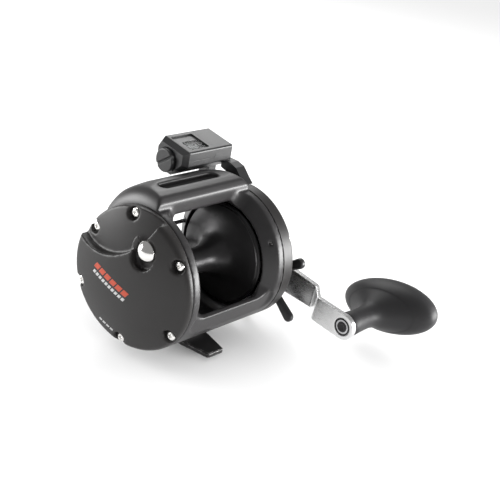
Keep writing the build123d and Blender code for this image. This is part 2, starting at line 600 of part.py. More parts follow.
# ---------------------------------------------------------------- line counter
case_wall = 1.6
wheel_radius = 6.6
counter_inner = [(39.9, 58.2), (42.8, 54.0), (42.8, 46.5), (41.3, 42.0), (33.0, 40.6), (25.4, 45.2),
                 (21.4, 49.4), (21.4, 56.0)]
cap_x = counter_left + 3.4
case_split = 52.0

shell = prism(cap_x, counter_split, counter_outline, counter_rounding)
shell -= prism(cap_x + 1.6, counter_split - 1.4, counter_inner)
upper_half = block(0.0, 45.0, 10.0, 50.0, case_split, 70.0)
lower_half = block(0.0, 45.0, 10.0, 50.0, 30.0, case_split)
shell -= rod(0.0, 40.0, 2.1, counter_y, counter_z)
for y, z in ((25.5, 53.0), (41.0, 53.0)):
    shell -= rod(20.0, 30.0, 1.05, y, z)
save("counter_body", shell & lower_half)

top_rise = (60.0 - 57.4) / (41.0 - 19.6)
top_tilt = degrees(atan2(60.0 - 57.4, 41.0 - 19.6))
top_plane = Plane(origin=(0, 30.3, 57.4 + top_rise * (30.3 - 19.6)), x_dir=(1, 0, 0),
                  z_dir=(0, -sin(radians(top_tilt)), cos(radians(top_tilt))))
bezel_centre = 16.6
window_centre = 18.6
cover = shell & upper_half
cover -= extrude(top_plane * Pos(bezel_centre, 0) * RectangleRounded(16.5, 16.0, 1.2), -0.9)
cover -= extrude(top_plane * Pos(window_centre, -2.2) * RectangleRounded(12.4, 8.4, 0.8), -6.0)
save("counter_cover", cover)
lens = extrude(top_plane.offset(-1.7) * Pos(window_centre, -2.2) * RectangleRounded(12.3, 8.3, 0.8), 0.9)
save("counter_lens", lens)

cap_face = make_face(Polyline([(y, z) for y, z in counter_outline], close=True))
end_cap = extrude(Plane.YZ.offset(cap_x) * cap_face, cap_x - counter_left, dir=(-1, 0, 0), taper=34.0)
knob_radius = 7.0
end_cap -= rod(0.0, counter_left + 1.4, knob_radius + 0.35, counter_y, counter_z)
end_cap -= rod(0.0, 10.0, 1.9, counter_y, counter_z)
save("counter_end_cap", end_cap)
reset_knob = rod(counter_left - 2.6, counter_left + 1.2, knob_radius, counter_y, counter_z)
reset_knob = fillet(reset_knob.edges().filter_by(GeomType.CIRCLE).sort_by(Axis.X)[0], 0.9)
reset_slot = block(counter_left - 3.0, counter_left - 1.0, -9.0, 9.0, -0.9, 0.9)
reset_knob -= Pos(0, counter_y, counter_z) * Rot(-38, 0, 0) * reset_slot
reset_knob += rod(counter_left, 7.9, 1.8, counter_y, counter_z)
save("reset_knob", reset_knob)

wheel_width = 4.4
wheel_places = {"hundreds_wheel": 10.2, "tens_wheel": 15.0, "units_wheel": 19.8}
for name, x in wheel_places.items():
    wheel = tube(x, x + wheel_width, wheel_radius, 1.3 + running_gap, counter_y, counter_z)
    save(name, wheel)
transfer_y, transfer_z = counter_y - 8.2, counter_z + 0.5
carrier = rod(9.2, 26.0, 0.8, transfer_y, transfer_z)
for x in (14.3, 19.1):
    carrier += ratchet_wheel(8, 1.15, 0.25, x, x + 1.0, transfer_y, transfer_z, 0.1)
save("transfer_pinions", carrier)

bevel_outer = 2.3
bevel_inner = 0.8
bevel_gap = 0.15


def bevel(apex, direction):
    """A bevel gear blank whose point is at apex, pointing along a direction."""
    cone = Cone(bevel_inner, bevel_outer, bevel_outer - bevel_inner, align=standing)
    cone = Pos(0, 0, bevel_inner + bevel_gap) * cone
    return Plane(origin=apex, z_dir=direction) * cone


input_shaft = rod(8.4, lay_shaft_x - 1.2, 1.3, counter_y, counter_z)
save("counter_input_shaft", input_shaft + bevel((lay_shaft_x, counter_y, counter_z), (-1, 0, 0)))
worm_bevel = bevel((lay_shaft_x, worm_y, worm_z), (-1, 0, 0)) - rod(30.0, 50.0, 0.6, worm_y, worm_z)
save("worm_gears", [worm_gear, worm_bevel])
lay_low, lay_high = worm_z + 1.1, counter_z - 1.1
lay_shaft = Pos(lay_shaft_x, worm_y, lay_low) * Cylinder(0.8, lay_high - lay_low, align=standing)
lay_shaft += bevel((lay_shaft_x, worm_y, worm_z), (0, 0, 1))
lay_shaft += bevel((lay_shaft_x, counter_y, counter_z), (0, 0, -1))
save("counter_lay_shaft", lay_shaft)

housing = prism(counter_split, counter_right, counter_outline, counter_rounding)
housing += block(frame_half + 0.2, counter_right, worm_y - 4.0, worm_y + 4.0, 18.0, 45.0)
arm_outline = [(22.0, 43.6), (22.0, 48.4), (15.5, 48.6), (10.2, 47.4), (4.8, 42.6), (-2.5, 37.0), (4.0, 37.0),
               (9.0, 41.6), (16.0, 42.2)]
housing += prism(frame_half + 1.5, case_face - 0.5, arm_outline)
housing -= rod(frame_half - 10.0, 60.0, plate_radius + 0.02)
housing -= rod(counter_split - 1.0, lay_shaft_x + 2.4, 3.4, counter_y, counter_z)
housing -= block(lay_shaft_x - 2.6, lay_shaft_x + 2.4, worm_y - 2.6, worm_y + 2.6, 40.0, counter_z)
housing -= Pos(lay_shaft_x, worm_y, 30.0) * Cylinder(0.8 + running_gap, 40.0)
housing_screw_places = [(25.5, 53.0), (41.0, 53.0)]
housing_screws = []
for y, z in housing_screw_places:
    housing -= rod(20.0, 45.0, 1.05, y, z) + rod(counter_right - 1.6, 45.0, 2.3, y, z)
    head = rod(counter_right - 1.6, counter_right - 0.4, 2.0, y, z)
    housing_screws.append(rod(24.4, counter_right - 1.0, 1.0, y, z) + head)
save("counter_drive_housing", housing)
save("inner_screws", foot_screws + bridge_screws + housing_screws)
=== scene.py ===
"""A level-wind trolling reel, dressed piece by piece around its fixed mechanical frame."""
import functools
import json
import logging
import math
from dataclasses import dataclass
from enum import Enum
from typing import Iterable

import bmesh
import bpy
from mathutils import Matrix, Vector


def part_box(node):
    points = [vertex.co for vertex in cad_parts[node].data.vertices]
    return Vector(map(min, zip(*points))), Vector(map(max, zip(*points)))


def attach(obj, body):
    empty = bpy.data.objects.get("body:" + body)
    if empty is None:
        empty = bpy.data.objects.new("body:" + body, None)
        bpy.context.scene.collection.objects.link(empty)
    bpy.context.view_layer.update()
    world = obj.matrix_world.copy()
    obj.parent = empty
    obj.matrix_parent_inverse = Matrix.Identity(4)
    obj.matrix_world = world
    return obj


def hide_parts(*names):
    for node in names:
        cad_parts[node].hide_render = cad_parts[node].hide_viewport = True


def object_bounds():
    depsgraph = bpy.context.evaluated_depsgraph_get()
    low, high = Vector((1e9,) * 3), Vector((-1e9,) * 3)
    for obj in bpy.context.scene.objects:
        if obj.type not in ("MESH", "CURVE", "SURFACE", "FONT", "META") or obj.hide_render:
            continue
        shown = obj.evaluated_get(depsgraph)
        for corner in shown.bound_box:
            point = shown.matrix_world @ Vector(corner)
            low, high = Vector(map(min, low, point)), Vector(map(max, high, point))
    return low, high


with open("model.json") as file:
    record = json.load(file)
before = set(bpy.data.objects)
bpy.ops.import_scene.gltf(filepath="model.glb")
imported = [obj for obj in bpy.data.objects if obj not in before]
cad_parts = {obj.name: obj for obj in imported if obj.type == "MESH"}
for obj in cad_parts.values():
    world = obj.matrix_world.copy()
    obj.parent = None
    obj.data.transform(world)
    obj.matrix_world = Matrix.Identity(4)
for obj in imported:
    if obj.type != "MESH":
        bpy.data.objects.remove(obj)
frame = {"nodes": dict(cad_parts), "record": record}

log = logging.getLogger("reel")
logging.basicConfig(level=logging.INFO, format="%(message)s")

CAD_LOW, CAD_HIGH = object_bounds()
MM = 0.001
AXIS_Z = 45.0 * MM


class Grain(Enum):
    """How a surface's fine texture runs, as a stretch along X, Y and Z."""

    EVEN = (1.0, 1.0, 1.0)
    TURNED = (1.0, 0.06, 0.06)
    ALONG_ARM = (1.0, 0.03, 1.0)


# ------------------------------------------------------------------ mesh helpers
def place(x: float, y: float, z: float) -> Vector:
    """Place a point given about the spool axis in the frame.

    Args:
        x: Its X in millimetres.
        y: Its Y in millimetres.
        z: Its height over the spool axis in millimetres.

    Returns:
        The point in the frame's metres.
    """
    return Vector((x * MM, y * MM, z * MM + AXIS_Z))


def smooth_line(points: list[tuple[float, float]], steps: int = 6) -> list[tuple[float, float]]:
    """Pass a smooth line through a few design points.

    Args:
        points: Pairs of millimetres, in order.
        steps: Spans between two neighbouring design points.

    Returns:
        The points of the smooth line, ends included.
    """
    padded = [points[0], *points, points[-1]]
    line = []
    for a, b, c, d in zip(padded, padded[1:], padded[2:], padded[3:]):
        for k in range(steps):
            t = k / steps
            line.append(tuple(
                0.5 * (2 * q + (r - p) * t + (2 * p - 5 * q + 4 * r - s) * t * t
                       + (3 * q - p - 3 * r + s) * t ** 3)
                for p, q, r, s in zip(a, b, c, d)))
    line.append(points[-1])
    return line


def spun(profile: Iterable[tuple[float, float]], y: float, z: float, steps: int = 96) -> bmesh.types.BMesh:
    """Turn a profile of X and radius about a line along X.

    Args:
        profile: Pairs of X and radius in millimetres.
        y: The line's Y in millimetres.
        z: The line's height over the spool axis in millimetres.
        steps: Flats around the turn.

    Returns:
        The turned mesh with its doubles merged and its normals facing out.
    """
    mesh = bmesh.new()
    verts = [mesh.verts.new(place(x, y + r, z)) for x, r in profile]
    edges = [mesh.edges.new(pair) for pair in zip(verts, verts[1:])]
    bmesh.ops.spin(mesh, geom=verts + edges, cent=place(0, y, z), axis=(1, 0, 0), dvec=(0, 0, 0),
                   angle=math.tau, steps=steps, use_merge=True, use_duplicate=False)
    bmesh.ops.remove_doubles(mesh, verts=mesh.verts, dist=0.002 * MM)
    bmesh.ops.recalc_face_normals(mesh, faces=mesh.faces)
    return mesh


def plate(outline: list[tuple[float, float]], x0: float, x1: float, soften: float) -> bmesh.types.BMesh:
    """Make a flat plate across X from an outline, with softened rims.

    Args:
        outline: Pairs of Y and Z about the spool axis in millimetres.
        x0: The near face's X in millimetres.
        x1: The far face's X in millimetres.
        soften: The rim's rounding in millimetres.

    Returns:
        The closed plate.
    """
    mesh = bmesh.new()
    verts = [mesh.verts.new(place(x0, y, z)) for y, z in outline]
    face = mesh.faces.new(verts)
    grown = bmesh.ops.extrude_face_region(mesh, geom=[face])
    moved = [g for g in grown["geom"] if isinstance(g, bmesh.types.BMVert)]
    bmesh.ops.translate(mesh, verts=moved, vec=((x1 - x0) * MM, 0, 0))
    bmesh.ops.recalc_face_normals(mesh, faces=mesh.faces)
    rims = [e for e in mesh.edges if abs(e.verts[0].co.x - e.verts[1].co.x) < 1e-7]
    bmesh.ops.bevel(mesh, geom=rims, offset=soften * MM, affect="EDGES", segments=4, profile=0.5,
                    material=-1, clamp_overlap=True)
    bmesh.ops.recalc_face_normals(mesh, faces=mesh.faces)
    return mesh


def join(meshes: list[bmesh.types.BMesh]) -> bmesh.types.BMesh:
    """Put several meshes into one.

    Args:
        meshes: The meshes, which are freed.

    Returns:
        One mesh that holds them all.
    """
    whole = bmesh.new()
    for part in meshes:
        data = bpy.data.meshes.new("part")
        part.to_mesh(data)
        part.free()
        whole.from_mesh(data)
        bpy.data.meshes.remove(data)
    return whole


def centre_of(node: str) -> Vector:
    """Find the middle of a node's box.

    Args:
        node: The node to measure.

    Returns:
        The middle, in millimetres about the spool axis.
    """
    low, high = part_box(node)
    middle = (low + high) / 2
    return Vector((middle.x / MM, middle.y / MM, (middle.z - AXIS_Z) / MM))


@functools.cache
def span_of(node: str) -> tuple[Vector, Vector]:
    """Find a node's lowest and highest corner, in millimetres about the spool axis.

    Args:
        node: The node to measure.

    Returns:
        The low corner and the high corner.
    """
    low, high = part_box(node)
    lift = Vector((0, 0, AXIS_Z))
    return (low - lift) / MM, (high - lift) / MM


def moulded(node: str, grain: float, rounds: int) -> bmesh.types.BMesh:
    """Copy a node's shape as one smooth moulding, with every edge rounded.

    Args:
        node: The node to copy.
        grain: The moulding's mesh size in millimetres.
        rounds: How many times it is smoothed.

    Returns:
        The closed mesh.
    """
    merged = bmesh.new()
    merged.from_mesh(frame["nodes"][node].data)
    bmesh.ops.remove_doubles(merged, verts=merged.verts, dist=0.001 * MM)
    data = bpy.data.meshes.new("moulding")
    merged.to_mesh(data)
    merged.free()
    carrier = bpy.data.objects.new("moulding", data)
    bpy.context.scene.collection.objects.link(carrier)
    remesh = carrier.modifiers.new("remesh", "REMESH")
    remesh.mode = "VOXEL"
    remesh.voxel_size = grain * MM
    soften = carrier.modifiers.new("soften", "SMOOTH")
    soften.factor = 0.5
    soften.iterations = rounds
    solid = bpy.data.meshes.new_from_object(carrier.evaluated_get(bpy.context.evaluated_depsgraph_get()))
    bpy.data.objects.remove(carrier)
    mesh = bmesh.new()
    mesh.from_mesh(solid)
    bpy.data.meshes.remove(solid)
    return mesh


# ------------------------------------------------------------------ shared shader groups
def new_group(name: str, inputs: list[tuple], outputs: list[tuple]) -> tuple:
    """Start a shader group with named sockets.

    Args:
        name: The group's name.
        inputs: Socket name, socket type and default value of each input.
        outputs: Socket name and socket type of each output.

    Returns:
        The group's tree, its input node and its output node.
    """
    tree = bpy.data.node_groups.new(name, "ShaderNodeTree")
    for label, kind, default in inputs:
        tree.interface.new_socket(name=label, in_out="INPUT", socket_type=kind).default_value = default
    for label, kind in outputs:
        tree.interface.new_socket(name=label, in_out="OUTPUT", socket_type=kind)
    return tree, tree.nodes.new("NodeGroupInput"), tree.nodes.new("NodeGroupOutput")


def grain_group() -> bpy.types.NodeTree:
    """Build the fine grain: a bumped normal with rounded edges, and an uneven roughness.

    Returns:
        The group, with the outputs Normal and Roughness.
    """
    tree, given, out = new_group(
        "fine_grain",
        [("Scale", "NodeSocketFloat", 2500.0), ("Stretch", "NodeSocketVector", (1, 1, 1)),
         ("Depth", "NodeSocketFloat", 0.00001), ("Rounding", "NodeSocketFloat", 0.0003),
         ("Roughness", "NodeSocketFloat", 0.4), ("Spread", "NodeSocketFloat", 0.06)],
        [("Normal", "NodeSocketVector"), ("Roughness", "NodeSocketFloat")])
    nodes, link = tree.nodes, tree.links.new
    coords = nodes.new("ShaderNodeTexCoord")
    mapping = nodes.new("ShaderNodeMapping")
    link(coords.outputs["Object"], mapping.inputs["Vector"])
    link(given.outputs["Stretch"], mapping.inputs["Scale"])
    fine = nodes.new("ShaderNodeTexNoise")
    fine.inputs["Detail"].default_value = 3.0
    link(mapping.outputs["Vector"], fine.inputs["Vector"])
    link(given.outputs["Scale"], fine.inputs["Scale"])
    corner = nodes.new("ShaderNodeBevel")
    corner.samples = 6
    link(given.outputs["Rounding"], corner.inputs["Radius"])
    bump = nodes.new("ShaderNodeBump")
    link(given.outputs["Depth"], bump.inputs["Distance"])
    link(fine.outputs["Fac"], bump.inputs["Height"])
    link(corner.outputs["Normal"], bump.inputs["Normal"])
    link(bump.outputs["Normal"], out.inputs["Normal"])
    broad = nodes.new("ShaderNodeTexNoise")
    broad.inputs["Scale"].default_value = 90.0
    broad.inputs["Detail"].default_value = 5.0
    link(coords.outputs["Object"], broad.inputs["Vector"])
    both = nodes.new("ShaderNodeMath")
    both.operation = "ADD"
    link(broad.outputs["Fac"], both.inputs[0])
    link(fine.outputs["Fac"], both.inputs[1])
    centred = nodes.new("ShaderNodeMath")
    centred.operation = "SUBTRACT"
    centred.inputs[1].default_value = 1.0
    link(both.outputs[0], centred.inputs[0])
    final = nodes.new("ShaderNodeMath")
    final.operation = "MULTIPLY_ADD"
    link(centred.outputs[0], final.inputs[0])
    link(given.outputs["Spread"], final.inputs[1])
    link(given.outputs["Roughness"], final.inputs[2])
    link(final.outputs[0], out.inputs["Roughness"])
    return tree


def wear_group() -> bpy.types.NodeTree:
    """Build the lighter edge: along sharp edges, a worn finish with a painted highlight, broken by noise and
    mottled a little.

    Returns:
        The group, with the outputs Color and Mask.
    """
    tree, given, out = new_group(
        "edge_wear_and_highlight",
        [("Base", "NodeSocketColor", (0.02, 0.02, 0.02, 1)), ("Worn and highlight", "NodeSocketColor", (0.2, 0.2, 0.2, 1)),
         ("Width", "NodeSocketFloat", 0.0004), ("Amount", "NodeSocketFloat", 0.3),
         ("Mottle", "NodeSocketFloat", 0.1)],
        [("Color", "NodeSocketColor"), ("Mask", "NodeSocketFloat")])
    nodes, link = tree.nodes, tree.links.new
    # Edge mask from the bevel normal: sharp edges take the lighter colour, which is partly worn finish and
    # partly a painted highlight.
    corner = nodes.new("ShaderNodeBevel")
    corner.samples = 6
    link(given.outputs["Width"], corner.inputs["Radius"])
    geometry = nodes.new("ShaderNodeNewGeometry")
    dot = nodes.new("ShaderNodeVectorMath")
    dot.operation = "DOT_PRODUCT"
    link(corner.outputs["Normal"], dot.inputs[0])
    link(geometry.outputs["Normal"], dot.inputs[1])
    edge = nodes.new("ShaderNodeMapRange")
    edge.inputs["From Min"].default_value = 0.985
    edge.inputs["From Max"].default_value = 0.86
    link(dot.outputs["Value"], edge.inputs["Value"])
    coords = nodes.new("ShaderNodeTexCoord")
    patches = nodes.new("ShaderNodeTexNoise")
    patches.inputs["Scale"].default_value = 420.0
    patches.inputs["Detail"].default_value = 6.0
    link(coords.outputs["Object"], patches.inputs["Vector"])
    broken = nodes.new("ShaderNodeMapRange")
    broken.inputs["From Min"].default_value = 0.38
    broken.inputs["From Max"].default_value = 0.62
    link(patches.outputs["Fac"], broken.inputs["Value"])
    mask = nodes.new("ShaderNodeMath")
    mask.operation = "MULTIPLY"
    link(edge.outputs["Result"], mask.inputs[0])
    link(broken.outputs["Result"], mask.inputs[1])
    scaled = nodes.new("ShaderNodeMath")
    scaled.operation = "MULTIPLY"
    link(mask.outputs[0], scaled.inputs[0])
    link(given.outputs["Amount"], scaled.inputs[1])
    cloud = nodes.new("ShaderNodeTexNoise")
    cloud.inputs["Scale"].default_value = 140.0
    link(coords.outputs["Object"], cloud.inputs["Vector"])
    lift = nodes.new("ShaderNodeMath")
    lift.operation = "MULTIPLY"
    link(cloud.outputs["Fac"], lift.inputs[0])
    link(given.outputs["Mottle"], lift.inputs[1])
    mottled = nodes.new("ShaderNodeMix")
    mottled.data_type = "RGBA"
    link(lift.outputs[0], mottled.inputs["Factor"])
    link(given.outputs["Base"], mottled.inputs["A"])
    link(given.outputs["Worn and highlight"], mottled.inputs["B"])
    final = nodes.new("ShaderNodeMix")
    final.data_type = "RGBA"
    link(scaled.outputs[0], final.inputs["Factor"])
    link(mottled.outputs["Result"], final.inputs["A"])
    link(given.outputs["Worn and highlight"], final.inputs["B"])
    link(final.outputs["Result"], out.inputs["Color"])
    link(scaled.outputs[0], out.inputs["Mask"])
    return tree


# ------------------------------------------------------------------ finishes
@dataclass(frozen=True)
class Finish:
    """One surface finish, from its colour down to its grain.

    Attributes:
        slot: The record's material slot it belongs to; not used.
        colour: The base colour.
        worn: The lighter colour on sharp edges, partly rubbed finish and partly a painted highlight.
        roughness: The mean roughness.
        spread: How far the roughness wanders.
        metallic: 1 for bare metal.
        grain: How the fine texture runs.
        scale: The grain's frequency, per metre.
        depth: The grain's depth in metres.
        rounding: The radius of the softened edges in metres.
        wear: How far the lighter edge colour, partly a painted highlight, shows on edges.
        mottle: How far the lighter edge colour clouds the base at random.
        transmission: 1 for clear plastic.
        specular: The specular level of the base.
        bend: The index of refraction.
    """

    slot: str
    colour: tuple[float, float, float]
    worn: tuple[float, float, float] = (0.2, 0.2, 0.2)
    roughness: float = 0.4
    spread: float = 0.06
    metallic: float = 0.0
    grain: Grain = Grain.EVEN
    scale: float = 2600.0
    depth: float = 0.000006
    rounding: float = 0.00025
    wear: float = 0.15
    mottle: float = 0.05
    transmission: float = 0.0
    specular: float = 0.5
    bend: float = 1.5

    def build(self, name: str, groups: dict[str, bpy.types.NodeTree]) -> bpy.types.Material:
        """Make the finish's material.

        Args:
            name: The material's name.
            groups: The shared shader groups by name.

        Returns:
            The material.
        """
        material = bpy.data.materials.new(name)
        material.use_nodes = True
        nodes, link = material.node_tree.nodes, material.node_tree.links.new
        shader = nodes["Principled BSDF"]
        shader.inputs["Metallic"].default_value = self.metallic
        shader.inputs["Transmission Weight"].default_value = self.transmission
        shader.inputs["Specular IOR Level"].default_value = self.specular
        shader.inputs["IOR"].default_value = self.bend
        grain = nodes.new("ShaderNodeGroup")
        grain.node_tree = groups["fine_grain"]
        for label, value in (("Scale", self.scale), ("Stretch", self.grain.value), ("Depth", self.depth),
                             ("Rounding", self.rounding), ("Roughness", self.roughness),
                             ("Spread", self.spread)):
            grain.inputs[label].default_value = value
        link(grain.outputs["Normal"], shader.inputs["Normal"])
        link(grain.outputs["Roughness"], shader.inputs["Roughness"])
        # The edge group lightens sharp edges with the second colour: partly worn finish, partly a painted
        # highlight.
        wear = nodes.new("ShaderNodeGroup")
        wear.node_tree = groups["edge_wear_and_highlight"]
        for label, value in (("Base", (*self.colour, 1)), ("Worn and highlight", (*self.worn, 1)),
                             ("Width", self.rounding * 1.6), ("Amount", self.wear),
                             ("Mottle", self.mottle)):
            wear.inputs[label].default_value = value
        link(wear.outputs["Color"], shader.inputs["Base Color"])
        return material


# Each finish's second colour goes on its sharp edges and clouds its base; on the edges it is partly worn
# finish and partly a painted highlight.
FINISHES: dict[str, Finish] = {
    "graphite": Finish("graphite", (0.011, 0.0098, 0.0095), (0.06, 0.058, 0.06), 0.42, 0.05,
                       scale=3800, depth=0.000004, rounding=0.0004, wear=0.15, specular=0.4),
    "dark_frame": Finish("dark_frame", (0.012, 0.011, 0.0115), (0.10, 0.10, 0.105), 0.40, 0.05,
                         scale=3800, depth=0.000004, rounding=0.0006, wear=0.1, specular=0.5),
    "black_plastic": Finish("black_plastic", (0.012, 0.012, 0.0125), (0.07, 0.07, 0.07), 0.38, 0.06,
                            scale=3200, depth=0.000005, rounding=0.0004, wear=0.2),
    "screw_chrome": Finish("screw_chrome", (0.78, 0.77, 0.75), (0.9, 0.9, 0.9), 0.14, 0.04, 1.0,
                           scale=1500, depth=0.000002, rounding=0.0002, wear=0.2, mottle=0.1),
    "spool_black": Finish("spool_black", (0.022, 0.021, 0.022), (0.12, 0.12, 0.12), 0.36, 0.05, 0.6,
                          Grain.TURNED, 5200, 0.000003, 0.0003, 0.3, 0.08),
    "steel": Finish("steel", (0.55, 0.55, 0.56), (0.75, 0.75, 0.75), 0.26, 0.06, 1.0,
                    scale=4200, depth=0.000003, rounding=0.00015, wear=0.3, mottle=0.15),
    "brass": Finish("brass", (0.66, 0.47, 0.19), (0.8, 0.66, 0.36), 0.28, 0.07, 1.0,
                    scale=4200, depth=0.000003, rounding=0.00015, wear=0.4, mottle=0.12),
    "handle_metal": Finish("handle_metal", (0.80, 0.80, 0.80), (0.92, 0.92, 0.92), 0.27, 0.05, 1.0,
                           Grain.ALONG_ARM, 7000, 0.000005, 0.0006, 0.5, 0.1),
    "soft_grip": Finish("soft_grip", (0.016, 0.0155, 0.0165), (0.05, 0.05, 0.05), 0.50, 0.04,
                        scale=5200, depth=0.000006, rounding=0.0002, wear=0.1, specular=0.28),
    "white_plastic": Finish("white_plastic", (0.80, 0.80, 0.77), (0.9, 0.9, 0.88), 0.35, 0.06,
                            scale=2000, depth=0.000003, wear=0.1),
    "lens": Finish("lens", (0.95, 0.97, 0.98), (1.0, 1.0, 1.0), 0.02, 0.0, scale=900, depth=0.0,
                   rounding=0.00001, wear=0.05, transmission=1.0, specular=0.3, bend=1.1),
    "fibre": Finish("fibre", (0.05, 0.05, 0.05), (0.15, 0.15, 0.15), 0.6, 0.1, scale=1400,
                    depth=0.00003, wear=0.2),
    "foot_metal": Finish("foot_metal", (0.020, 0.019, 0.020), (0.75, 0.74, 0.72), 0.36, 0.06, 0.5,
                         Grain.EVEN, 3200, 0.000005, 0.0005, 0.75, 0.02),
    "stripe_orange": Finish("graphite", (0.40, 0.045, 0.015), (0.5, 0.1, 0.05), 0.42, 0.05, wear=0.1),
    "stripe_pale": Finish("graphite", (0.42, 0.42, 0.42), (0.5, 0.5, 0.5), 0.42, 0.05, wear=0.1),
    "digit_black": Finish("white_plastic", (0.012, 0.012, 0.012), (0.03, 0.03, 0.03), 0.45, 0.05, wear=0.1),
}


class Workshop:
    """Holds the finishes and turns meshes into pieces of the object."""

    def __init__(self) -> None:
        """Build the shared groups and every finish's material."""
        groups = {"fine_grain": grain_group(), "edge_wear_and_highlight": wear_group()}
        self.materials = {name: finish.build(name, groups) for name, finish in FINISHES.items()}

    def dress_nodes(self) -> None:
        """Give every carried-over node the material of its slot."""
        for row in frame["record"]["subparts"]:
            node = frame["nodes"][row["node"]]
            node.data.materials.clear()
            node.data.materials.append(self.materials[row["material_slot"]])
        log.info("dressed %d nodes", len(frame["nodes"]))

    def piece(self, mesh: bmesh.types.BMesh, name: str, finish: str, body: str,
              stands_for: tuple[str, ...] = (), crease: float = 35.0) -> bpy.types.Object:
        """Turn a finished mesh into a piece that rides on a body.

        Args:
            mesh: The mesh, in place, which is freed.
            name: The piece's name.
            finish: The finish's name.
            body: The body it rides on.
            stands_for: The nodes that it replaces.
            crease: The angle in degrees past which an edge stays sharp.

        Returns:
            The object.
        """
        data = bpy.data.meshes.new(name)
        mesh.to_mesh(data)
        mesh.free()
        data.shade_smooth()
        data.set_sharp_from_angle(angle=math.radians(crease))
        data.materials.append(self.materials[finish])
        made = bpy.data.objects.new(name, data)
        bpy.context.scene.collection.objects.link(made)
        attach(made, body)
        if stands_for:
            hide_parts(*stands_for)
        log.info("%s: %d faces on %s", name, len(data.polygons), body)
        return made


# ------------------------------------------------------------------ sub-assemblies
@dataclass
class Housing:
    """The moulded frame and left side plate, with generic stripes on the plate's dome.

    Attributes:
        frame_mesh: The frame moulding's mesh size in millimetres.
        plate_mesh: The plate moulding's mesh size in millimetres.
        rounds: How many times both mouldings are smoothed.
        dome_radius: The plate's ball radius in millimetres.
        dome_y: The ball's centre along Y.
        band_start: Y and Z where the orange band starts.
        band_turn: The band's slope in degrees.
        lean: How far a bar leans over, as a share of its height.
        film: The stripes' thickness in millimetres.
        proud: How far the stripes stand off the dome.
    """

    frame_mesh: float = 0.7
    plate_mesh: float = 0.6
    rounds: int = 8
    dome_radius: float = 120.0
    dome_y: float = 16.4
    band_start: tuple[float, float] = (18.4, 4.2)
    band_turn: float = 17.0
    lean: float = 0.35
    film: float = 0.04
    proud: float = 0.03

    def dome_x(self, y: float, z: float) -> float:
        """Find the dome's face over a point.

        Args:
            y: The point's Y in millimetres.
            z: The point's height over the spool axis in millimetres.

        Returns:
            The face's X in millimetres.
        """
        lowest = span_of("left_side_plate")[0].x
        top = lowest + self.dome_radius
        return top - math.sqrt(self.dome_radius ** 2 - (y - self.dome_y) ** 2 - z ** 2)

    def slanted_bar(self, along: float, down: float, length: float, height: float) -> bmesh.types.BMesh:
        """Lay one slanted bar on the dome.

        Args:
            along: Its start along the band, in millimetres.
            down: Its top's distance under the band's top.
            length: Its length along the band.
            height: Its height across the band.

        Returns:
            A thin film that follows the dome.
        """
        mesh = bmesh.new()
        bmesh.ops.create_grid(mesh, x_segments=8, y_segments=5, size=0.5)
        turn = math.radians(self.band_turn)
        for vert in mesh.verts:
            u = along + (vert.co.x + 0.5) * length + (vert.co.y - 0.5) * height * self.lean
            v = down + (0.5 - vert.co.y) * height
            y = self.band_start[0] - u * math.cos(turn) + v * math.sin(turn)
            z = self.band_start[1] - u * math.sin(turn) - v * math.cos(turn)
            vert.co = place(self.dome_x(y, z) - self.proud, y, z)
        bmesh.ops.recalc_face_normals(mesh, faces=mesh.faces)
        bmesh.ops.solidify(mesh, geom=mesh.faces, thickness=self.film * MM)
        bmesh.ops.recalc_face_normals(mesh, faces=mesh.faces)
        return mesh

    def build(self, shop: Workshop) -> None:
        """Make the moulded frame and plate, and the printed stripes.

        Args:
            shop: The workshop that makes the pieces.
        """
        shop.piece(moulded("frame", self.frame_mesh, self.rounds), "moulded_frame", "dark_frame",
                   "frame_body", ("frame",), 180.0)
        shop.piece(moulded("left_side_plate", self.plate_mesh, self.rounds), "moulded_plate", "graphite",
                   "frame_body", ("left_side_plate",), 180.0)
        orange = [self.slanted_bar(k * 4.5, 0.0, 3.7, 3.6) for k in range(6)]
        shop.piece(join(orange), "orange_stripes", "stripe_orange", "frame_body")
        pale = [self.slanted_bar(k * 2.6, 4.9, 1.9, 2.2) for k in range(10)]
        pale += [self.slanted_bar(13.0 + k * 2.9, 31.0, 2.2, 1.6) for k in range(4)]
        shop.piece(join(pale), "pale_stripes", "stripe_pale", "frame_body")


@dataclass
class Spool:
    """The spool, turned in one piece with rolled rims.

    Attributes:
        arbor: The arbor's radius in millimetres.
        bore: The bore's radius.
        web: The flange's thickness near the rim.
    """

    arbor: float = 7.5
    bore: float = 2.0
    web: float = 2.6

    def profile(self, half: float, radius: float) -> list[tuple[float, float]]:
        """Draw the turned outline from the bore's end round to its other end.

        Args:
            half: Half the spool's length.
            radius: The rim's radius.

        Returns:
            Pairs of X and radius in millimetres.
        """
        face = half - self.web - 0.4
        inner = [(0.0, self.arbor), (9.0, self.arbor + 0.3), (15.0, self.arbor + 2.6), (19.0, 13.5),
                 (21.2, 19.0), (22.6, 25.0), (face - 0.9, radius - 1.4)]
        rim = [(face + 0.2 + 1.1 * (1 - math.cos(a)), radius - 1.1 + 1.1 * math.sin(a))
               for a in (math.radians(15 * k) for k in range(13))]
        outer = [(half - 0.6, radius - 3.5), (half - 2.6, 24.0), (half - 4.4, 18.0), (half - 6.6, 12.5),
                 (half - 6.4, 9.4), (half - 5.6, 9.0), (half - 0.5, 9.0), (half, 8.5), (half, self.bore)]
        right = smooth_line(inner, 5) + rim + smooth_line(outer[:4], 3) + outer[4:]
        left = [(-x, r) for x, r in reversed(right)]
        return left[:-1] + right

    def build(self, shop: Workshop) -> None:
        """Make the spool.

        Args:
            shop: The workshop that makes the pieces.
        """
        low, high = span_of("spool")
        mesh = spun(self.profile(high.x, (high.z - low.z) / 2), 0.0, 0.0, 160)
        shop.piece(mesh, "turned_spool", "spool_black", "spool", ("spool",), 30.0)


